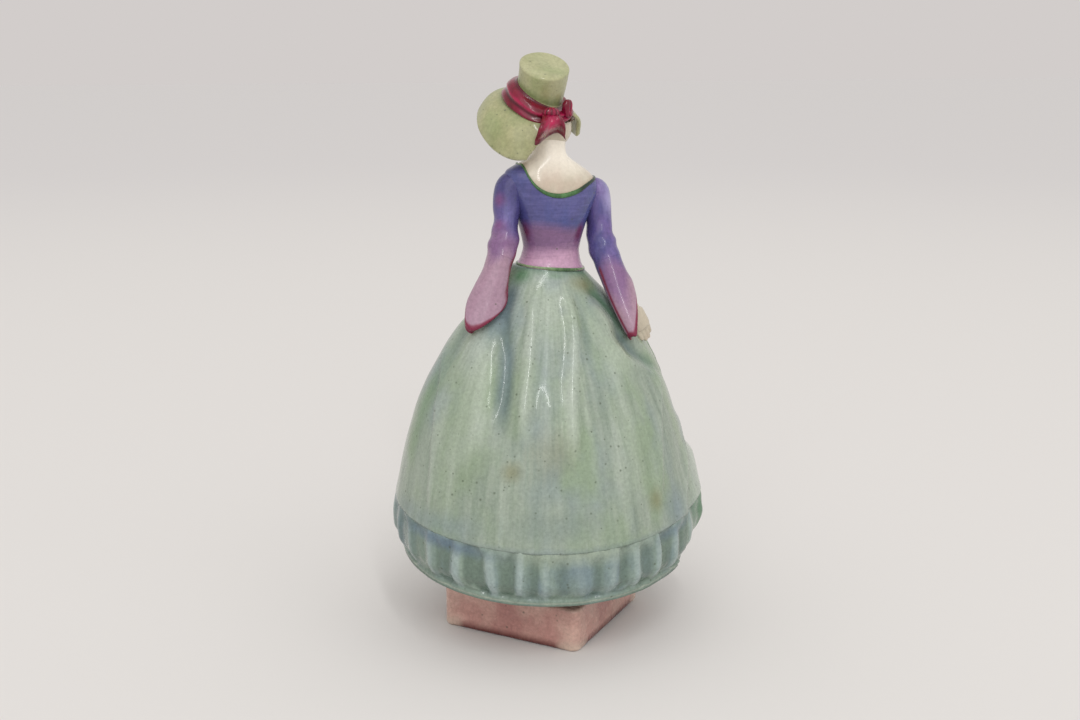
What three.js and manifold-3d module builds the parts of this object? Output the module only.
// A porcelain lady in a poke bonnet and a full skirt, standing on a square plinth that is set cornerwise.
// Millimetres, +Z up. She faces -Y, with her left hand on +X.
// The origin is the middle of the plinth's flat underside.
import * as THREE from "three";
import { mergeVertices } from "three/addons/utils/BufferGeometryUtils.js";
import Module from "manifold-3d";

const wasm = await Module();
wasm.setup();

// Driving dimensions: millimetres, with turns and leans in degrees.
// A turn is counted from her front, -Y, towards her left, +X.
const JOINT_GAP = 0.3; // the slip joint between two pieces
const SLIVER = 0.04; // cuts leave no edge or step finer than this

const PLINTH_SIDE = 24.5;
const PLINTH_HEIGHT = 7.4;
const PLINTH_TURN = 45;
const PLINTH_CORNER = 1.7;
const PLINTH_EDGE = 0.5;
const VENT_WIDTH = 2.4; // the kiln vent under the plinth
const VENT_DEPTH = 5;
const VENT_OFFSET = 7;

const COLUMN_X = -0.8; // she stands a little off the plinth's middle
const COLUMN_Y = 0.3;

const STANCE = 5.6; // between the middles of the feet
const SHOE_LENGTH = 9.5;
const SHOE_WIDTH = 3.8;
const SHOE_HEIGHT = 2.8;
const TOE_TURN = 12;
const TOE_REACH = 5.6; // from the ankle to the toe's tip

const LEG_WIDTH = 2.4;
const LEG_SEAT = 1.2; // how deep an ankle stands in its shoe
const ANKLE_SHOW = 1.6;
const LEG_TUCK = 3;
const PANTALETTE_LENGTH = 8.5;
const PANTALETTE_TOP_WIDTH = 4.2;
const PANTALETTE_HEM_WIDTH = 5;
const PANTALETTE_TUCK = 2.6;
const PANTALETTE_PLEATS = 8;
const PANTALETTE_PLEAT_DEPTH = 0.17;

const PETTICOAT_LENGTH = 40;
const PETTICOAT_TOP_WIDTH = 6;
const PETTICOAT_HEM_WIDTH = 18;
const PETTICOAT_FOLDS = 12;
const PETTICOAT_FOLD_DEPTH = 0.5;

const SKIRT_CROWN = 2.6; // clay at the waist
const SKIRT_WALL = 2.2;
const SKIRT_TOP_WIDTH = 12;
const SKIRT_TOP_DEPTH = 9;
const SKIRT_WIDTH = 52.6;
const SKIRT_DEPTH = 46.4;
const SKIRT_SWAY = 0.7; // towards her left
const SKIRT_SPREAD_FALL = 43; // below the waist, where it is widest
const SKIRT_FALL = 50.2; // waist to hem at the back
const HEM_LIFT = 6.8; // the hem's rise from the back to the front

const FRILL_HEIGHT = 8.8;
const FRILL_FLARE = 0.2;
const FRILL_TUCK = 1.7; // how far the hem rolls inwards
const FRILL_TUCK_START = 0.75; // the share of its height where the roll starts
const FRILL_PLEATS = 52;
const FRILL_PLEAT_DEPTH = 0.4;
const FRILL_GATHER = 0.35; // the share of its height over which the pleats open
const FRILL_HEM_CALM = 0.6; // how much the rolled hem flattens them
const FRILL_UNEVEN = 0.9; // hand-tooled pleats are unevenly spaced, in radians of a pleat
const FRILL_UNEVEN_WAVES = 5;

const BAND_HEIGHT = 0.8;
const BAND_THICKNESS = 0.45;

const WAIST_WIDTH = 10;
const WAIST_DEPTH = 8;
const WAIST_SPREAD = 0.1; // where the bodice meets the skirt
const BUST_RISE = 9; // heights above the waist
const BUST_WIDTH = 12.4;
const BUST_DEPTH = 10;
const SHOULDER_RISE = 13.6;
const SHOULDER_WIDTH = 14.4;
const SHOULDER_DEPTH = 9;
const SHOULDER_TILT = 4; // her left shoulder is the higher
const NECK_RISE = 18.6;
const NECK_WIDTH = 5.5;
const NECK_LENGTH = 2.4;
const TORSO_SWAY = 0.35; // towards her right
const TORSO_LEAN = 2;
const SPIGOT_WIDTH = 5;
const SPIGOT_LENGTH = 1.6;

const NECKLINE_WIDTH = 12.8;
const NECKLINE_DEPTH = 15;
const NECKLINE_DROP = 7.1;
const NECKLINE_RISE = 18.1;
const TRIM_WIDTH = 0.5;
const TRIM_PROUD = 0.3;
const TRIM_DEPTH = 0.9;

const SHOULDER_SPAN = 14.8; // between the arms
const SHOULDER_DROP = 1.4; // below the shoulder height
const SHOULDER_REACH_IN = 1.1; // the sleeve's crest, inwards and up from the arm
const SHOULDER_REACH_UP = 0.8;
const UPPER_ARM = 8.8;
const FOREARM = 12.4;
const SLEEVE_WIDTH = 4.5;
const ELBOW_WIDTH = 4.9;
const CUFF_WIDTH = 6.6;
const CUFF_THICKNESS = 3.8;
const CUFF_SHARE = 0.56; // where the cuff starts, along the arm
const HAND_LENGTH = 7.4;
const HAND_WIDTH = 3.2;
const HAND_THICKNESS = 1.7;
const HAND_SEAT = 2.4; // how deep the wrist stands in its cuff
const THUMB_LENGTH = 2.6;
const THUMB_WIDTH = 1.1;
// Leans in degrees; fall is how far a cuff's point hangs below its other edge.
const LEFT_ARM = {
  side: 1,
  out: 10,
  back: 10,
  foreOut: 22,
  foreBack: 16,
  handOut: 0,
  handBack: -38,
  fall: 3.4,
};
const RIGHT_ARM = {
  side: -1,
  out: 4,
  back: 12,
  foreOut: 15,
  foreBack: 27,
  handOut: 32,
  handBack: 0,
  fall: 5.4,
};

const HEAD_RISE = 22.6;
const HEAD_TURN = 27;
const HEAD_FORWARD = 1.3;
const HEAD_SIDE = 0.7;
const HEAD_WIDTH = 7.8;
const HEAD_DEPTH = 9;
const HEAD_HEIGHT = 10;
const NOSE_RISE = 0.6;
const CHIN_RISE = 0.25;
const LIP_RISE = 0.15;
const HAIR_THICKNESS = 0.5;
const HAIR_OPENING = 72; // half the turn that the face takes

const HAT_RISE = 3.3; // the brim's ring, above the head's middle
const HAT_SIDE = 1.4;
const RING_WIDTH = 10;
const RING_LEAN = 23;
const RING_TILT = 6;
const CROWN_LEAN = 32;
const CROWN_HEIGHT = 7.4;
const CROWN_TOP_WIDTH = 8.2;
const CROWN_BASE_WIDTH = 7.7;
const CROWN_EDGE = 0.35;
const RIBBON_RISE = 2.5;
const RIBBON_SLANT = 1.5;
const RIBBON_THICKNESS = 0.7;
const RIBBON_RIDGE = 0.25;
const BRIM_THICKNESS = 0.8;
const BRIM_REACH = 9.6; // from the ring's middle
const BRIM_FRONT_REACH = 8.8;
const BRIM_END_REACH = 6.8;
const BRIM_DROOP_LEFT = 8.6;
const BRIM_DROOP_RIGHT = 5.7;
const BRIM_BULGE = 0.9;
const BRIM_LIFT = 0.7; // the front edge, above the ring
const BRIM_INNER_TURN = 140;
const BRIM_OUTER_TURN = 119;

const BOW_TURN = 191;
const KNOT_WIDTH = 2.6;
const KNOT_DEPTH = 2;
const TAIL_LENGTH = 5;
const TAIL_NOTCH = 2;
const TAIL_SPREAD = 7;
const TAIL_THICKNESS = 1.2;
const TAIL_LIFT = 2.2; // outwards over the ribbon's lower edge
const TAIL_TUCK = 0.9; // back towards the nape
const TAIL_DRIFT = 0.4; // to her left
const TAIL_RIPPLE = 0.25;
const LOOP_LENGTH = 3.8;
const LOOP_WIDTH = 2.2;
const LOOP_TURN = 226;

// The skirt's half profile, as shares: how far down, how far out.
const SKIRT_LINE = [
  [0, 0],
  [0.14, 0.29],
  [0.25, 0.48],
  [0.42, 0.685],
  [0.62, 0.835],
  [0.83, 0.935],
  [1, 1],
  [1.2, 1],
];

// Folds drawn in the skirt: turn and half width in degrees, height in millimetres, and the shares of the
// fall where each starts and fades.
const FOLD_START = 0.1; // how softly a fold starts and fades, as a share
const FOLD_FADE = 0.15;
const FOLDS = [
  { turn: 0, half: 13, height: 0.6, from: 0.15, to: 0.95 },
  { turn: 24, half: 9, height: -0.7, from: 0.12, to: 0.9 },
  { turn: 47, half: 11, height: 0.6, from: 0.12, to: 0.95 },
  { turn: 70, half: 9, height: -0.5, from: 0.3, to: 0.9 },
  { turn: 102, half: 5, height: -0.4, from: 0.35, to: 0.85 },
  { turn: 125, half: 10, height: 0.5, from: 0.15, to: 0.7 },
  { turn: 140, half: 8, height: -1.1, from: 0.1, to: 0.62 },
  { turn: 151, half: 6, height: 0.45, from: 0.1, to: 0.5 },
  { turn: 162, half: 7, height: -0.35, from: 0.1, to: 0.45 },
  { turn: 174, half: 8, height: 0.6, from: 0.1, to: 0.85 },
  { turn: 189, half: 9, height: -0.45, from: 0.1, to: 0.6 },
  { turn: 205, half: 5, height: -0.45, from: 0.45, to: 1 },
  { turn: 216, half: 9, height: -0.8, from: 0.12, to: 0.36 },
  { turn: 232, half: 10, height: 0.8, from: 0.12, to: 0.5 },
  { turn: 250, half: 14, height: 1.2, from: 0.7, to: 1.2 },
  { turn: 290, half: 9, height: -0.6, from: 0.25, to: 0.95 },
  { turn: 313, half: 11, height: 0.6, from: 0.12, to: 0.95 },
  { turn: 337, half: 9, height: -0.7, from: 0.12, to: 0.9 },
];

// Heights, from the plinth up.
const SOLE_Z = PLINTH_HEIGHT + JOINT_GAP;
const SHOE_TOP_Z = SOLE_Z + SHOE_HEIGHT;
const PANTALETTE_HEM_Z = SHOE_TOP_Z + ANKLE_SHOW;
const PANTALETTE_TOP_Z = PANTALETTE_HEM_Z + PANTALETTE_LENGTH;
const PETTICOAT_HEM_Z = PANTALETTE_TOP_Z - PANTALETTE_TUCK;
const PETTICOAT_TOP_Z = PETTICOAT_HEM_Z + PETTICOAT_LENGTH;
const WAIST_Z = PETTICOAT_TOP_Z + JOINT_GAP + SKIRT_CROWN;

const TAU = 2 * Math.PI;
const UP = new THREE.Vector3(0, 0, 1);
const { degToRad, lerp, smoothstep, clamp } = THREE.MathUtils;

function vec(x, y, z) {
  return new THREE.Vector3(x, y, z);
}

// The level direction at a turn from her front.
function heading(turn) {
  return vec(Math.sin(turn), -Math.cos(turn), 0);
}

// A smooth value through [place, value] points.
function through(points, place) {
  const last = points.length - 1;
  let i = 0;
  while (i < last - 1 && place > points[i + 1][0]) {
    i += 1;
  }
  const slope = (k) => {
    const before = points[Math.max(k - 1, 0)];
    const after = points[Math.min(k + 1, last)];
    return (after[1] - before[1]) / (after[0] - before[0]);
  };
  const width = points[i + 1][0] - points[i][0];
  const s = clamp((place - points[i][0]) / width, 0, 1);
  const rise = s * s * (3 - 2 * s);
  const bend = slope(i) * s * (1 - s) * (1 - s) - slope(i + 1) * s * s * (1 - s);
  return lerp(points[i][1], points[i + 1][1], rise) + width * bend;
}

// A closed geometry as a solid, its doubled vertices merged and its flat faces dropped.
function solidOf(geometry) {
  geometry.deleteAttribute("normal");
  geometry.deleteAttribute("uv");
  const merged = mergeVertices(geometry, 1e-4);
  const corners = merged.index.array;
  const triVerts = [];
  for (let i = 0; i < corners.length; i += 3) {
    const [a, b, c] = corners.subarray(i, i + 3);
    if (a !== b && b !== c && c !== a) {
      triVerts.push(a, b, c);
    }
  }
  const vertProperties = new Float32Array(merged.getAttribute("position").array);
  const mesh = new wasm.Mesh({ numProp: 3, vertProperties, triVerts: new Uint32Array(triVerts) });
  return new wasm.Manifold(mesh);
}

// A turned form, each of whose points is placed by a formula of its row and turn.
// The rows run from bottom to top; the first and the last close on the axis, or are the same row.
function turned(rows, sides, place) {
  const blank = rows.map((row, i) => new THREE.Vector2(1, i));
  const geometry = new THREE.LatheGeometry(blank, sides);
  const position = geometry.getAttribute("position");
  const uv = geometry.getAttribute("uv");
  for (let i = 0; i < position.count; i += 1) {
    const row = rows[Math.round(uv.getY(i) * (rows.length - 1))];
    const spot = place(row, uv.getX(i) * TAU);
    position.setXYZ(i, spot.x, spot.y, spot.z);
  }
  return solidOf(geometry);
}

// A sheet, whose points are placed by a formula of across and along, 0 to 1, and of its face, -0.5 or 0.5.
function sheet(across, along, place) {
  const geometry = new THREE.BoxGeometry(1, 1, 1, across, along, 1);
  const position = geometry.getAttribute("position");
  for (let i = 0; i < position.count; i += 1) {
    const spot = place(position.getX(i) + 0.5, position.getY(i) + 0.5, position.getZ(i));
    position.setXYZ(i, spot.x, spot.y, spot.z);
  }
  return solidOf(geometry);
}

// A rolled form along a curve. Each row has its share of the way, its half width and its half thickness.
function limb(curve, rows, sides, flatwise) {
  return turned(rows, sides, (row, turn) => {
    const tangent = curve.getTangentAt(row.at);
    const wide = vec(0, 0, 0).crossVectors(flatwise, tangent).normalize();
    const thin = vec(0, 0, 0).crossVectors(wide, tangent);
    return curve
      .getPointAt(row.at)
      .addScaledVector(wide, row.wide * Math.sin(turn))
      .addScaledVector(thin, row.thin * Math.cos(turn))
      .addScaledVector(tangent, row.push ? row.push(turn) : 0);
  });
}

function ellipsoid(middle, width, depth, height, sides) {
  const geometry = new THREE.SphereGeometry(0.5, sides, sides / 2).rotateX(Math.PI / 2);
  return solidOf(geometry.scale(width, depth, height).translate(middle.x, middle.y, middle.z));
}

function block(low, high) {
  const size = high.clone().sub(low);
  const middle = low.clone().add(high).multiplyScalar(0.5);
  return solidOf(new THREE.BoxGeometry(size.x, size.y, size.z).translate(middle.x, middle.y, middle.z));
}

// Plinth
function roundedSquare(side, corner) {
  const half = side / 2 - corner;
  const outline = new THREE.Shape();
  outline.absarc(half, half, corner, 0, TAU / 4);
  outline.absarc(-half, half, corner, TAU / 4, TAU / 2);
  outline.absarc(-half, -half, corner, TAU / 2, (3 * TAU) / 4);
  outline.absarc(half, -half, corner, (3 * TAU) / 4, TAU);
  return outline;
}

function plinth() {
  const body = new THREE.ExtrudeGeometry(roundedSquare(PLINTH_SIDE, PLINTH_CORNER), {
    depth: PLINTH_HEIGHT - 2 * PLINTH_EDGE,
    bevelThickness: PLINTH_EDGE,
    bevelSize: PLINTH_EDGE,
    bevelOffset: -PLINTH_EDGE,
    bevelSegments: 2,
    curveSegments: 5,
  });
  body.translate(0, 0, PLINTH_EDGE).rotateZ(degToRad(PLINTH_TURN));
  const vent = new THREE.CylinderGeometry(VENT_WIDTH / 2, VENT_WIDTH / 2, 2 * VENT_DEPTH, 16);
  vent.rotateX(Math.PI / 2).translate(0, VENT_OFFSET, 0);
  return solidOf(body).subtract(solidOf(vent));
}

// Feet, legs and underclothes. A side is 1 for her left and -1 for her right.
function footX(side) {
  return COLUMN_X + (side * STANCE) / 2;
}

function leg(side, grow) {
  const rows = [
    { rise: -LEG_SEAT - grow, radius: 0 },
    { rise: -LEG_SEAT - grow, radius: LEG_WIDTH / 2 + grow },
    { rise: ANKLE_SHOW, radius: LEG_WIDTH / 2 + grow },
    { rise: ANKLE_SHOW + LEG_TUCK + grow, radius: LEG_WIDTH / 2 + grow },
    { rise: ANKLE_SHOW + LEG_TUCK + grow, radius: 0 },
  ];
  return turned(rows, 14, (row, turn) =>
    heading(turn)
      .multiplyScalar(row.radius)
      .add(vec(footX(side), COLUMN_Y, SHOE_TOP_Z + row.rise)),
  );
}

function shoe(side) {
  const facing = heading(degToRad(side * TOE_TURN));
  const ankle = vec(footX(side), COLUMN_Y, SOLE_Z);
  const heel = ankle.clone().addScaledVector(facing, TOE_REACH - SHOE_LENGTH);
  const toe = ankle.clone().addScaledVector(facing, TOE_REACH);
  const rows = [
    { at: 0, wide: 0, thin: 0 },
    { at: 0, wide: 0.55, thin: 0.7 },
    { at: 0.1, wide: 0.8, thin: 0.98 },
    { at: 0.4, wide: 0.85, thin: 1 },
    { at: 0.65, wide: 1, thin: 0.72 },
    { at: 0.85, wide: 0.85, thin: 0.5 },
    { at: 1, wide: 0.35, thin: 0.3 },
    { at: 1, wide: 0, thin: 0 },
  ];
  const sized = rows.map((row) => ({
    at: row.at,
    wide: (row.wide * SHOE_WIDTH) / 2,
    thin: row.thin * SHOE_HEIGHT,
  }));
  const body = limb(new THREE.LineCurve3(heel, toe), sized, 16, UP);
  const reach = vec(SHOE_LENGTH, SHOE_LENGTH, SHOE_HEIGHT);
  const below = block(ankle.clone().sub(reach), ankle.clone().add(vec(reach.x, reach.y, 0)));
  return body.subtract(below).subtract(leg(side, JOINT_GAP));
}

function pantalette(side, grow) {
  const hem = PANTALETTE_HEM_WIDTH / 2 + grow;
  const top = PANTALETTE_TOP_WIDTH / 2 + grow;
  const rows = [
    { rise: -grow, radius: 0, pleat: 0 },
    { rise: -grow, radius: hem, pleat: 1 },
    { rise: 0.25 * PANTALETTE_LENGTH, radius: lerp(hem, top, 0.7), pleat: 0.5 },
    { rise: 0.45 * PANTALETTE_LENGTH, radius: top, pleat: 0 },
    { rise: PANTALETTE_LENGTH + grow, radius: top, pleat: 0 },
    { rise: PANTALETTE_LENGTH + grow, radius: 0, pleat: 0 },
  ];
  return turned(rows, 3 * PANTALETTE_PLEATS, (row, turn) => {
    const pleat = PANTALETTE_PLEAT_DEPTH * row.pleat * Math.cos(PANTALETTE_PLEATS * turn);
    return heading(turn)
      .multiplyScalar(row.radius ? row.radius + pleat : 0)
      .add(vec(footX(side), COLUMN_Y, PANTALETTE_HEM_Z + row.rise));
  });
}

function petticoat() {
  const hem = PETTICOAT_HEM_WIDTH / 2;
  const top = PETTICOAT_TOP_WIDTH / 2;
  const rows = [
    { share: 0, radius: 0, fold: 0 },
    { share: 0, radius: hem, fold: 1 },
    { share: 0.1, radius: lerp(top, hem, 0.9), fold: 1 },
    { share: 0.35, radius: lerp(top, hem, 0.6), fold: 0.8 },
    { share: 0.7, radius: lerp(top, hem, 0.22), fold: 0.4 },
    { share: 1, radius: top, fold: 0 },
    { share: 1, radius: 0, fold: 0 },
  ];
  return turned(rows, 4 * PETTICOAT_FOLDS, (row, turn) => {
    const fold = PETTICOAT_FOLD_DEPTH * row.fold * Math.cos(PETTICOAT_FOLDS * turn);
    return heading(turn)
      .multiplyScalar(row.radius ? row.radius + fold : 0)
      .add(vec(COLUMN_X, COLUMN_Y, PETTICOAT_HEM_Z + row.share * PETTICOAT_LENGTH));
  });
}

// Skirt and frill. A drop is a depth below the waist.
function hemDrop(turn) {
  return SKIRT_FALL - (HEM_LIFT * (1 + Math.cos(turn))) / 2;
}

function seamDrop(turn) {
  return hemDrop(turn) - FRILL_HEIGHT;
}

function foldHeight(turn, drop) {
  const share = drop / SKIRT_SPREAD_FALL;
  return FOLDS.reduce((sum, fold) => {
    const ahead = turn - degToRad(fold.turn);
    const away = Math.atan2(Math.sin(ahead), Math.cos(ahead));
    const across = Math.exp(-((away / degToRad(fold.half)) ** 2));
    const started = smoothstep(share, fold.from - FOLD_START, fold.from + FOLD_START);
    const faded = smoothstep(share, fold.to - FOLD_FADE, fold.to + FOLD_FADE);
    return sum + fold.height * across * started * (1 - faded);
  }, 0);
}

function skirtRadius(turn, drop) {
  const spread = through(SKIRT_LINE, drop / SKIRT_SPREAD_FALL);
  const wide = lerp(SKIRT_TOP_WIDTH, SKIRT_WIDTH, spread) / 2;
  const deep = lerp(SKIRT_TOP_DEPTH, SKIRT_DEPTH, spread ** 1.3) / 2;
  const oval = (wide * deep) / Math.hypot(deep * Math.sin(turn), wide * Math.cos(turn));
  return oval + foldHeight(turn, drop);
}

function skirtSway(drop) {
  return SKIRT_SWAY * smoothstep(drop / SKIRT_SPREAD_FALL, 0, 0.5);
}

function skirtPoint(turn, drop, inset) {
  const radius = Math.max(skirtRadius(turn, drop) - inset, 0);
  return heading(turn)
    .multiplyScalar(radius)
    .add(vec(COLUMN_X + skirtSway(drop), COLUMN_Y, WAIST_Z - drop));
}

function skirt() {
  const inner = [0, 0.08, 0.22, 0.45, 0.75, 1];
  const outer = [1, 0.87, 0.73, 0.6, 0.48, 0.37, 0.27, 0.18, 0.1, 0.04, 0];
  const axis = (drop) => vec(COLUMN_X, COLUMN_Y, WAIST_Z - drop);
  const rows = [
    () => axis(SKIRT_CROWN),
    ...inner.map((share) => (turn) => {
      const drop = lerp(SKIRT_CROWN, seamDrop(turn), share);
      return skirtPoint(turn, drop, SKIRT_WALL);
    }),
    ...outer.map((share) => (turn) => skirtPoint(turn, share * seamDrop(turn), 0)),
    () => axis(0),
  ];
  const shell = turned(rows, 64, (row, turn) => row(turn));
  return shell.subtract(spigot(JOINT_GAP));
}

function frillPoint(turn, share, inset) {
  const drop = seamDrop(turn) + JOINT_GAP + share * (FRILL_HEIGHT - JOINT_GAP);
  const flare = FRILL_FLARE * Math.sin(Math.PI * share);
  const tuck = smoothstep(share, FRILL_TUCK_START, 1);
  const wave = FRILL_PLEATS * turn + FRILL_UNEVEN * Math.sin(FRILL_UNEVEN_WAVES * turn);
  const gathered = smoothstep(share, 0, FRILL_GATHER) * (1 - FRILL_HEM_CALM * tuck);
  const pleat = inset ? 0 : FRILL_PLEAT_DEPTH * Math.cos(wave) * gathered;
  return skirtPoint(turn, drop, inset - flare + FRILL_TUCK * tuck - pleat);
}

function frill() {
  const rows = [
    { share: 0, inset: SKIRT_WALL },
    { share: 1, inset: SKIRT_WALL },
    { share: 1, inset: 0 },
    { share: 0.85, inset: 0 },
    { share: 0.4, inset: 0 },
    { share: 0, inset: 0 },
    { share: 0, inset: SKIRT_WALL },
  ];
  return turned(rows, 3 * FRILL_PLEATS, (row, turn) => frillPoint(turn, row.share, row.inset));
}

// Bodice, neck and trim
const TORSO = [
  [0, WAIST_WIDTH / 2 + WAIST_SPREAD, WAIST_DEPTH / 2 + WAIST_SPREAD],
  [0.2 * BUST_RISE, WAIST_WIDTH / 2, WAIST_DEPTH / 2],
  [BUST_RISE, BUST_WIDTH / 2, BUST_DEPTH / 2],
  [SHOULDER_RISE, SHOULDER_WIDTH / 2, SHOULDER_DEPTH / 2],
  [lerp(SHOULDER_RISE, NECK_RISE, 0.42), (0.84 * SHOULDER_WIDTH) / 2, (0.8 * SHOULDER_DEPTH) / 2],
  [lerp(SHOULDER_RISE, NECK_RISE, 0.7), 0.75 * NECK_WIDTH, 0.6 * NECK_WIDTH],
  [NECK_RISE, NECK_WIDTH / 2, NECK_WIDTH / 2],
  [NECK_RISE + NECK_LENGTH, NECK_WIDTH / 2, NECK_WIDTH / 2],
];

function torsoMiddle(rise) {
  const lean = Math.tan(degToRad(TORSO_LEAN)) * rise;
  return vec(COLUMN_X - TORSO_SWAY - lean, COLUMN_Y, WAIST_Z + rise);
}

// How much higher a point is for being out to her left, at a height above the waist.
function shoulderTilt(rise, left) {
  const below = smoothstep(rise, BUST_RISE / 2, SHOULDER_RISE);
  const above = smoothstep(rise, SHOULDER_RISE, NECK_RISE);
  return Math.tan(degToRad(SHOULDER_TILT)) * below * (1 - above) * left;
}

function torso(grow) {
  const foot = JOINT_GAP;
  const top = NECK_RISE + NECK_LENGTH;
  const steps = 11;
  const rises = Array.from({ length: steps + 1 }, (_, i) => lerp(foot - grow, top + grow, i / steps));
  const rows = [
    { rise: foot - grow, radius: 0 },
    ...rises.map((rise) => ({ rise, radius: 1 })),
    { rise: top + grow, radius: 0 },
  ];
  const wide = TORSO.map(([rise, half]) => [rise, half]);
  const deep = TORSO.map(([rise, , half]) => [rise, half]);
  return turned(rows, 24, (row, turn) => {
    const facing = heading(turn);
    facing.x *= row.radius * (through(wide, row.rise) + grow);
    facing.y *= row.radius * (through(deep, row.rise) + grow);
    facing.z = shoulderTilt(row.rise, facing.x);
    return facing.add(torsoMiddle(row.rise));
  });
}

function neckline(grow) {
  const middle = torsoMiddle(NECKLINE_RISE);
  const width = NECKLINE_WIDTH + 2 * grow;
  const depth = NECKLINE_DEPTH + 2 * grow;
  const height = 2 * (NECKLINE_DROP + grow);
  const level = ellipsoid(middle, width, depth, height, 24);
  return level.warp((spot) => (spot[2] += shoulderTilt(SHOULDER_RISE, spot[0] - middle.x)));
}

function spigot(grow) {
  const radius = SPIGOT_WIDTH / 2 + grow;
  const height = SPIGOT_LENGTH + 2 * JOINT_GAP + grow;
  const middle = torsoMiddle(2 * JOINT_GAP - height / 2);
  const pin = new THREE.CylinderGeometry(radius, radius, height, 20).rotateX(Math.PI / 2);
  return solidOf(pin.translate(middle.x, middle.y, middle.z));
}

function neckAndBust(grow) {
  const skin = torso(grow).intersect(neckline(grow));
  const core = torso(-TRIM_DEPTH - JOINT_GAP).intersect(neckline(JOINT_GAP + TRIM_WIDTH));
  return skin.add(core);
}

function necklineTrim(grow) {
  const ring = torso(TRIM_PROUD + grow).subtract(torso(-TRIM_DEPTH - grow));
  const band = neckline(JOINT_GAP + TRIM_WIDTH + grow).subtract(neckline(JOINT_GAP - grow));
  return ring.intersect(band);
}

function waistband(grow) {
  const wide = WAIST_WIDTH / 2 + WAIST_SPREAD + JOINT_GAP;
  const deep = WAIST_DEPTH / 2 + WAIST_SPREAD + JOINT_GAP;
  const rows = [
    { out: -grow, rise: JOINT_GAP - grow },
    { out: BAND_THICKNESS + grow, rise: JOINT_GAP - grow },
    { out: BAND_THICKNESS + grow, rise: JOINT_GAP + BAND_HEIGHT + grow },
    { out: -grow, rise: JOINT_GAP + BAND_HEIGHT + grow },
    { out: -grow, rise: JOINT_GAP - grow },
  ];
  return turned(rows, 32, (row, turn) => {
    const facing = heading(turn);
    facing.x *= wide + row.out;
    facing.y *= deep + row.out;
    return facing.add(torsoMiddle(0)).add(vec(0, 0, row.rise));
  });
}

// Arms
// The way down, swung out to the arm's side and back by degrees.
function downwards(arm, out, back) {
  return vec(arm.side * Math.tan(degToRad(out)), Math.tan(degToRad(back)), -1).normalize();
}

function armPath(arm) {
  const left = (arm.side * SHOULDER_SPAN) / 2;
  const tilt = shoulderTilt(SHOULDER_RISE, left);
  const top = torsoMiddle(SHOULDER_RISE - SHOULDER_DROP).add(vec(left, 0, tilt));
  const swing = (length, out, back) => downwards(arm, out, back).multiplyScalar(length);
  const crest = top.clone().add(vec(-arm.side * SHOULDER_REACH_IN, 0, SHOULDER_REACH_UP));
  const elbow = top.clone().add(swing(UPPER_ARM, arm.out, arm.back));
  const wrist = elbow.clone().add(swing(FOREARM, arm.foreOut, arm.foreBack));
  return new THREE.CatmullRomCurve3([crest, top, elbow, wrist]);
}

// The way out of the arm, square to which it is flattened.
function flatwise(arm) {
  return vec(arm.side * 0.35, 1, 0).normalize();
}

function sleeve(arm, grow) {
  const path = armPath(arm);
  const end = CUFF_SHARE - (JOINT_GAP - grow) / path.getLength();
  const half = SLEEVE_WIDTH / 2 + grow;
  const elbow = ELBOW_WIDTH / 2 + grow;
  const rows = [
    { at: 0, wide: 0, thin: 0, push: () => -0.9 * half },
    { at: 0, wide: 0.62 * half, thin: 0.62 * half, push: () => -0.7 * half },
    { at: 0, wide: 0.93 * half, thin: 0.93 * half, push: () => -0.25 * half },
    { at: 0.08, wide: 1.04 * half, thin: 1.04 * half },
    { at: 0.24, wide: 0.95 * half, thin: 0.95 * half },
    { at: 0.38, wide: elbow, thin: elbow },
    { at: 0.46, wide: 0.94 * elbow, thin: 0.94 * elbow },
    { at: end, wide: elbow, thin: elbow },
    { at: end, wide: 0, thin: 0 },
  ];
  return limb(path, rows, 18, flatwise(arm));
}

function cuff(arm, grow) {
  const path = armPath(arm);
  const start = CUFF_SHARE - grow / path.getLength();
  const elbow = ELBOW_WIDTH / 2 + grow;
  const wide = CUFF_WIDTH / 2 + grow;
  const thin = CUFF_THICKNESS / 2 + grow;
  const slant = (share) => (turn) => share * ((arm.fall * (1 - Math.sin(turn))) / 2 + grow);
  const rows = [
    { at: start, wide: 0, thin: 0 },
    { at: start, wide: elbow, thin: elbow },
    { at: 0.67, wide: lerp(elbow, wide, 0.35), thin: lerp(elbow, thin, 0.4) },
    { at: 0.79, wide: lerp(elbow, wide, 0.8), thin: lerp(elbow, thin, 0.9), push: slant(0.2) },
    { at: 0.88, wide, thin, push: slant(0.6) },
    { at: 0.94, wide: 0.78 * wide, thin: 0.8 * thin, push: slant(0.9) },
    { at: 0.97, wide: 0.35 * wide, thin: 0.45 * thin, push: slant(1) },
    { at: 0.97, wide: 0, thin: 0, push: () => arm.fall / 2 + grow },
  ];
  return limb(path, rows, 18, flatwise(arm));
}

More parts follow.
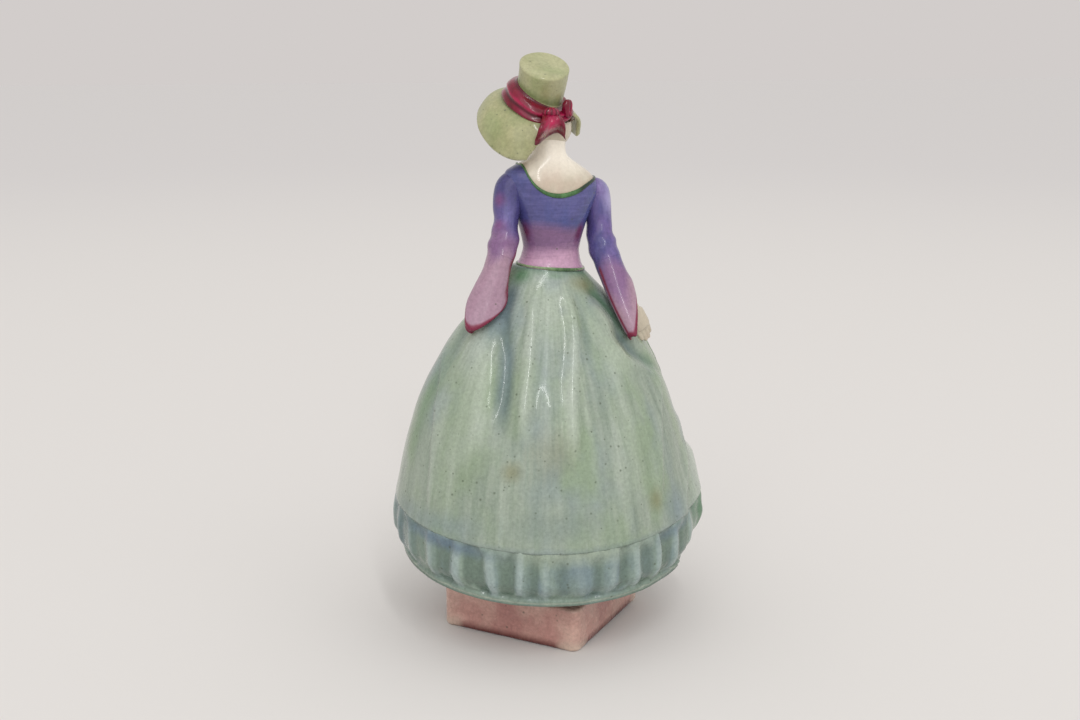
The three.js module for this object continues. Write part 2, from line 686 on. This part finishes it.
function hand(arm, grow) {
  const path = armPath(arm);
  const wrist = path.getPointAt(0.9);
  const aim = downwards(arm, arm.handOut, arm.handBack);
  const start = wrist.clone().addScaledVector(aim, -HAND_SEAT / 2);
  const end = start.clone().addScaledVector(aim, HAND_SEAT + HAND_LENGTH);
  const wide = HAND_WIDTH / 2 + grow;
  const thin = HAND_THICKNESS / 2 + grow;
  const rows = [
    { at: 0, wide: 0, thin: 0, push: () => -grow },
    { at: 0, wide: 0.6 * wide, thin: 0.8 * thin, push: () => -grow },
    { at: 0.25, wide: 0.62 * wide, thin: 0.9 * thin },
    { at: 0.5, wide, thin },
    { at: 0.75, wide: 0.9 * wide, thin: 0.85 * thin },
    { at: 0.95, wide: 0.55 * wide, thin: 0.55 * thin },
    { at: 1, wide: 0, thin: 0, push: () => grow },
  ];
  const palm = limb(new THREE.LineCurve3(start, end), rows, 14, flatwise(arm));
  const root = start.clone().addScaledVector(aim, HAND_SEAT + 0.2 * HAND_LENGTH);
  const tip = root.clone().addScaledVector(aim, THUMB_LENGTH).add(vec(0, -0.5 * HAND_WIDTH, 0));
  const thumbRows = [
    { at: 0, wide: 0, thin: 0 },
    { at: 0, wide: THUMB_WIDTH / 2 + grow, thin: THUMB_WIDTH / 2 + grow },
    { at: 0.8, wide: THUMB_WIDTH / 2 + grow, thin: THUMB_WIDTH / 2 + grow },
    { at: 1, wide: 0, thin: 0, push: () => grow },
  ];
  return palm.add(limb(new THREE.LineCurve3(root, tip), thumbRows, 10, flatwise(arm)));
}

// Head, in a frame of its own: the face looks along its turn.
const FACE = heading(degToRad(HEAD_TURN));
const HEAD_MIDDLE = torsoMiddle(HEAD_RISE).addScaledVector(FACE, HEAD_FORWARD).add(vec(HEAD_SIDE, 0, 0));

function headPoint(latitude, turn, grow) {
  const level = Math.cos(latitude);
  const height = Math.sin(latitude);
  const jaw = 1 - 0.28 * smoothstep(-height, 0.25, 1);
  const front = Math.cos(turn);
  const bump = (turnHalf, rise, riseHalf) =>
    Math.exp(-((Math.sin(turn) / turnHalf) ** 2) - ((height - rise) / riseHalf) ** 2) * (front > 0 ? 1 : 0);
  const nose = NOSE_RISE * bump(0.14, -0.16, 0.17);
  const chin = CHIN_RISE * bump(0.3, -0.78, 0.14);
  const lips = LIP_RISE * bump(0.22, -0.46, 0.07);
  const features = nose + chin + lips;
  const out = vec(
    (HEAD_WIDTH / 2 + grow) * level * jaw * Math.sin(turn),
    -((HEAD_DEPTH / 2 + grow) * level * (front > 0 ? lerp(jaw, 1, 0.4) : jaw) * front + features * level),
    (HEAD_HEIGHT / 2 + grow) * height,
  );
  return out.applyAxisAngle(UP, degToRad(HEAD_TURN)).add(HEAD_MIDDLE);
}

function latitudes(from, to, steps) {
  return Array.from({ length: steps + 1 }, (_, i) => degToRad(lerp(from, to, i / steps)));
}

function head(grow) {
  return turned(latitudes(-90, 90, 15), 22, (latitude, turn) => headPoint(latitude, turn, grow));
}

// Hair lies over the head, open at the face and above the bare nape.
function hair(grow) {
  const steps = 18;
  const inner = latitudes(-90, 90, 12);
  const lift = JOINT_GAP + HAIR_THICKNESS + grow;
  const cap = turned(inner, 22, (latitude, turn) => headPoint(latitude, turn, lift));
  const reach = HEAD_HEIGHT;
  const opening = turned(
    [
      { rise: -1, radius: 0 },
      { rise: -1, radius: 1 },
      { rise: 1, radius: 1 },
      { rise: 1, radius: 0 },
    ],
    steps,
    (row, turn) => {
      const wide = (HEAD_WIDTH / 2) * Math.sin(degToRad(HAIR_OPENING)) - grow;
      const out = vec(row.radius * wide * Math.sin(turn), 0, 0);
      out.y = -(HEAD_DEPTH / 2) * 0.25 - (row.rise > 0 ? 0 : reach);
      out.z = row.radius * (HEAD_HEIGHT * 0.36 - grow) * Math.cos(turn) - HEAD_HEIGHT * 0.06;
      return out.applyAxisAngle(UP, degToRad(HEAD_TURN)).add(HEAD_MIDDLE);
    },
  );
  const low = HEAD_MIDDLE.clone().add(vec(-reach, -reach, -reach));
  const high = HEAD_MIDDLE.clone().add(vec(reach, reach, -0.02 * HEAD_HEIGHT - grow));
  return cap.subtract(opening).subtract(block(low, high));
}

// Bonnet
const RING_MIDDLE = HEAD_MIDDLE.clone().add(vec(HAT_SIDE, 0, HAT_RISE));
const CROWN_AXIS = vec(0, Math.sin(degToRad(CROWN_LEAN)), Math.cos(degToRad(CROWN_LEAN)));
const CROWN_FRONT = vec(0, -Math.cos(degToRad(CROWN_LEAN)), Math.sin(degToRad(CROWN_LEAN)));

function ringPoint(turn, grow) {
  const out = heading(turn).multiplyScalar(RING_WIDTH / 2 + grow);
  out.z = out.x * Math.tan(degToRad(RING_TILT)) - out.y * Math.tan(degToRad(RING_LEAN));
  return out.add(RING_MIDDLE);
}

// Everything above the level of the brim's ring: the crown's flat seat on the head.
function hatSeat(grow) {
  const reach = 2 * RING_WIDTH;
  const side = Math.tan(degToRad(RING_TILT));
  const back = Math.tan(degToRad(RING_LEAN));
  const drop = grow * Math.hypot(1, side, back);
  const above = block(vec(-reach, -reach, -drop), vec(reach, reach, reach));
  return above.warp((spot) => (spot[2] += side * spot[0] - back * spot[1])).translate(RING_MIDDLE.toArray());
}

function crownPoint(turn, rise, radius) {
  return RING_MIDDLE.clone()
    .addScaledVector(CROWN_AXIS, rise)
    .addScaledVector(vec(1, 0, 0), radius * Math.sin(turn))
    .addScaledVector(CROWN_FRONT, radius * Math.cos(turn));
}

// Where the ribbon's upper edge goes round the crown: high on her left, low on her right.
function ribbonRise(turn) {
  return RIBBON_RISE + RIBBON_SLANT * Math.sin(turn);
}

// The flare between the brim's ring, at level 0, and the ribbon's upper edge, at level 1.
function flarePoint(turn, level, grow) {
  const low = ringPoint(turn, grow);
  const high = crownPoint(turn, ribbonRise(turn), CROWN_BASE_WIDTH / 2 + grow);
  return low.lerp(high, level);
}

function crown(grow) {
  const top = CROWN_TOP_WIDTH / 2 + grow;
  const height = CROWN_HEIGHT + grow;
  const rows = [
    () => flarePoint(0, 0, 0).add(flarePoint(Math.PI, 0, 0)).multiplyScalar(0.5),
    (turn) => flarePoint(turn, 0, grow),
    (turn) => flarePoint(turn, 0.5, grow),
    (turn) => flarePoint(turn, 1, grow),
    (turn) => crownPoint(turn, height - CROWN_EDGE, top),
    (turn) => crownPoint(turn, height, top - CROWN_EDGE),
    () => crownPoint(0, height, 0),
  ];
  return turned(rows, 32, (row, turn) => row(turn));
}

function hatRibbon(grow) {
  const near = JOINT_GAP - grow;
  const far = JOINT_GAP + RIBBON_THICKNESS + grow;
  const rows = [
    [0.06, near],
    [0.06, far],
    [0.3, far + RIBBON_RIDGE],
    [0.52, far - RIBBON_RIDGE],
    [0.74, far + RIBBON_RIDGE],
    [1, far],
    [1, near],
    [0.06, near],
  ];
  return turned(rows, 36, ([level, out], turn) => flarePoint(turn, level, out));
}

function brim() {
  const reach = [
    [0, BRIM_FRONT_REACH],
    [40, BRIM_REACH],
    [75, lerp(BRIM_END_REACH, BRIM_REACH, 0.7)],
    [BRIM_OUTER_TURN, BRIM_END_REACH],
  ];
  return sheet(22, 4, (across, along, face) => {
    const widest = lerp(BRIM_INNER_TURN, BRIM_OUTER_TURN, along);
    const away = (2 * across - 1) * widest;
    const turn = degToRad(HEAD_TURN + away);
    const near = ringPoint(turn, JOINT_GAP);
    const droop = (away > 0 ? BRIM_DROOP_LEFT : BRIM_DROOP_RIGHT) * Math.sin(degToRad(0.8 * away)) ** 2;
    const far = heading(turn)
      .multiplyScalar(through(reach, Math.abs(away)))
      .add(RING_MIDDLE)
      .add(vec(0, 0, BRIM_LIFT - droop));
    const slope = far.clone().sub(near).normalize();
    const inward = vec(0, 0, 0).crossVectors(heading(turn + Math.PI / 2), slope);
    const bulge = BRIM_BULGE * Math.sin(Math.PI * along);
    return near.lerp(far, along).addScaledVector(inward, face * BRIM_THICKNESS - bulge);
  });
}

// Bow: a knot with two pointed tails in one fan, and a loop beside it.
const KNOT_MIDDLE = flarePoint(degToRad(BOW_TURN), 0.95, JOINT_GAP + RIBBON_THICKNESS + 0.7 * KNOT_DEPTH);

function bow(grow) {
  const width = KNOT_WIDTH + 2 * grow;
  const depth = KNOT_DEPTH + 2 * grow;
  const knot = ellipsoid(KNOT_MIDDLE, width, depth, width, 12);
  const fan = sheet(8, 6, (across, along, face) => {
    const side = 2 * across - 1;
    const half = lerp(0.35 * KNOT_WIDTH, TAIL_SPREAD / 2, along ** 0.8) + grow;
    const length = TAIL_LENGTH - TAIL_NOTCH * (1 - Math.abs(side) ** 1.6) + grow;
    const ripple = TAIL_RIPPLE * along * Math.cos(3 * Math.PI * side);
    const lift = TAIL_LIFT * Math.sin(Math.PI * Math.min(1.3 * along, 1)) - TAIL_TUCK * along;
    const out = lift + ripple + face * (TAIL_THICKNESS + 2 * grow);
    return KNOT_MIDDLE.clone().add(vec(side * half + TAIL_DRIFT * along, out, -length * along));
  });
  return knot.add(fan);
}

function loop(grow) {
  const facing = heading(degToRad(LOOP_TURN));
  const middle = flarePoint(degToRad(LOOP_TURN), 0.8, JOINT_GAP + RIBBON_THICKNESS + 0.6 * LOOP_WIDTH);
  const across = vec(-facing.y, facing.x, 0);
  const rows = latitudes(-90, 90, 10);
  return turned(rows, 16, (latitude, turn) => {
    const dimple = 1 - 0.35 * Math.cos(latitude) ** 6;
    return middle
      .clone()
      .addScaledVector(UP, (LOOP_LENGTH / 2 + grow) * Math.sin(latitude))
      .addScaledVector(facing, -(LOOP_WIDTH / 2 + grow) * dimple * Math.cos(latitude) * Math.cos(turn))
      .addScaledVector(across, -(LOOP_WIDTH / 2 + grow) * Math.cos(latitude) * Math.sin(turn));
  });
}

// The figure, put together. Each piece is cut to leave the slip joint round the ones it meets.
function finish(name, solid, colour, roughness) {
  const mesh = solid.simplify(SLIVER).getMesh();
  const geometry = new THREE.BufferGeometry();
  geometry.setAttribute("position", new THREE.BufferAttribute(mesh.vertProperties, 3));
  geometry.setIndex(new THREE.BufferAttribute(mesh.triVerts, 1));
  geometry.computeVertexNormals();
  const material = new THREE.MeshStandardMaterial({ color: colour, roughness, metalness: 0 });
  const made = new THREE.Mesh(geometry, material);
  made.name = name;
  return made;
}

function cutBy(solid, cutters) {
  return cutters.reduce((rest, cutter) => rest.subtract(cutter), solid);
}

const PINK = 0xc9908c;
const CREAM = 0xe3d8c0;
const WHITE = 0xe6e3d8;
const SAGE = 0x93ab98;
const FRILL_BLUE = 0x7f9c9a;
const GREEN = 0x4a7a4a;
const VIOLET = 0x6a66a6;
const MAUVE = 0xa5709c;
const STRAW_GREEN = 0xaab98a;
const CRIMSON = 0x9c2850;
const BROWN = 0x6b4630;
const GLAZED = 0.25;
const SATIN = 0.5;

const arms = [
  ["left", LEFT_ARM],
  ["right", RIGHT_ARM],
];
const figure = new THREE.Group();
figure.add(finish("plinth", plinth(), PINK, GLAZED));

for (const [word, arm] of arms) {
  const side = arm.side;
  figure.add(finish(word + "_shoe", shoe(side), MAUVE, GLAZED));
  figure.add(finish(word + "_leg", leg(side, 0), WHITE, GLAZED));
  const trouser = pantalette(side, 0).subtract(leg(side, JOINT_GAP));
  figure.add(finish(word + "_pantalette", trouser, WHITE, GLAZED));
}
const petticoatCutters = arms.map(([, arm]) => pantalette(arm.side, JOINT_GAP));
figure.add(finish("petticoat", cutBy(petticoat(), petticoatCutters), WHITE, GLAZED));

const armCutters = arms.flatMap(([, arm]) => [sleeve, cuff, hand].map((piece) => piece(arm, JOINT_GAP)));
figure.add(finish("skirt", cutBy(skirt(), armCutters), SAGE, GLAZED));
figure.add(finish("skirt_frill", frill(), FRILL_BLUE, GLAZED));
figure.add(finish("waistband", cutBy(waistband(0), armCutters), GREEN, GLAZED));

const bodice = torso(0).add(spigot(0)).subtract(neckline(2 * JOINT_GAP + TRIM_WIDTH));
figure.add(finish("bodice", cutBy(bodice, armCutters), VIOLET, GLAZED));
figure.add(finish("neckline_trim", necklineTrim(0), GREEN, GLAZED));
figure.add(finish("neck_and_bust", cutBy(neckAndBust(0), armCutters), CREAM, GLAZED));

for (const [word, arm] of arms) {
  figure.add(finish(word + "_sleeve", sleeve(arm, 0).subtract(necklineTrim(JOINT_GAP)), VIOLET, GLAZED));
  figure.add(finish(word + "_cuff", cuff(arm, 0).subtract(hand(arm, JOINT_GAP)), MAUVE, GLAZED));
  figure.add(finish(word + "_hand", hand(arm, 0), CREAM, GLAZED));
}

const seats = [neckAndBust(JOINT_GAP), hatSeat(JOINT_GAP)];
figure.add(finish("head", cutBy(head(0), seats), CREAM, GLAZED));
figure.add(finish("hair", cutBy(hair(0), [...seats, head(JOINT_GAP)]), BROWN, SATIN));
const headCutters = [head(JOINT_GAP), hair(JOINT_GAP)].map((cutter) => cutter.subtract(hatSeat(0)));
figure.add(finish("bonnet_crown", crown(0), STRAW_GREEN, SATIN));
const brimCutters = [...headCutters, neckAndBust(JOINT_GAP), torso(JOINT_GAP + TRIM_PROUD), ...armCutters];
figure.add(finish("bonnet_brim", cutBy(brim(), [...brimCutters, hatRibbon(JOINT_GAP)]), STRAW_GREEN, SATIN));
figure.add(finish("hat_ribbon", hatRibbon(0), CRIMSON, GLAZED));
const bowCutters = [hatRibbon(JOINT_GAP), crown(JOINT_GAP), brim(), ...headCutters, neckAndBust(JOINT_GAP)];
figure.add(finish("ribbon_bow", cutBy(bow(0), bowCutters), CRIMSON, GLAZED));
figure.add(finish("ribbon_loop", cutBy(loop(0), [...bowCutters, bow(JOINT_GAP)]), CRIMSON, GLAZED));

export default figure;
